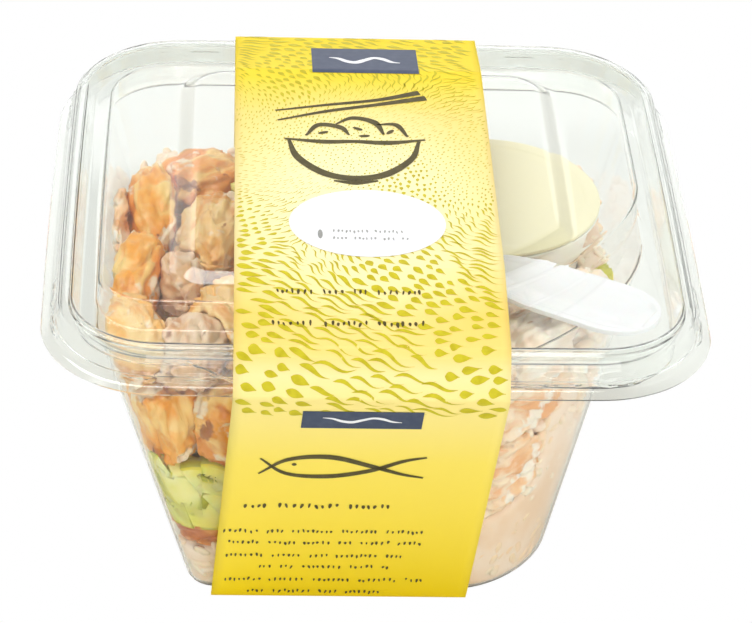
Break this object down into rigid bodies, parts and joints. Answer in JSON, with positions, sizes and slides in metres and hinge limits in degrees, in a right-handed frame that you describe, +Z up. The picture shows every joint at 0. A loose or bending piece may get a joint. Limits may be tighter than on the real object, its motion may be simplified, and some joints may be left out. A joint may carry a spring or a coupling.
{
  "type": "packed sushi bowl",
  "caption": "Shut clear square pack of rice, flaked salmon and cucumber with a spoon, a dip pot and a paper band round it.",
  "frame": {"origin": "on the ground under the middle of the pack", "axes": "+Z up, +Y away from the front of the pack, +X to its right"},
  "size_m": [0.1468, 0.1482, 0.089],
  "materials": {
    "clear_lid": "thin clear formed plastic sheet, glossy",
    "clear_tub": "thin clear formed plastic sheet, glossy",
    "paper": "printed coated card, satin",
    "spoon": "white moulded plastic",
    "pot": "milky thin plastic",
    "pot_film": "milky thin plastic lid",
    "dressing": "pale yellow dressing",
    "rice": "moist cooked rice",
    "salmon": "hot smoked salmon in flakes, moist",
    "pale_salmon": "pale salmon flakes, moist",
    "cucumber": "cut cucumber, moist"
  },
  "bodies": {
    "root": {"band": "paper", "band_flake": "salmon", "band_front_chunk": "salmon", "band_front_flake": "salmon", "band_left_flake": "salmon", "band_rear_flake": "salmon", "corner_chunk": "salmon", "crescent_flake": "salmon", "dark_flake": "salmon", "dip_pot": "pot", "dip_pot_lid": "pot_film", "dressing": "dressing", "far_band_flake": "salmon", "far_flake": "salmon", "front_chunk": "salmon", "front_flake": "salmon", "greens": "cucumber", "grey_flake": "salmon", "left_chunk": "salmon", "left_rear_chunk": "salmon", "lid": "clear_lid", "low_side_strip": "pale_salmon", "low_strip": "salmon", "middle_flake": "salmon", "orange_flake": "salmon", "pale_flake": "pale_salmon", "rice": "rice", "right_chunk": "pale_salmon", "right_flake": "pale_salmon", "right_front_chunk": "pale_salmon", "right_green": "cucumber", "right_low_chunk": "pale_salmon", "spoon": "spoon", "top_green": "cucumber", "tub": "clear_tub"}
  },
  "joints": []
}
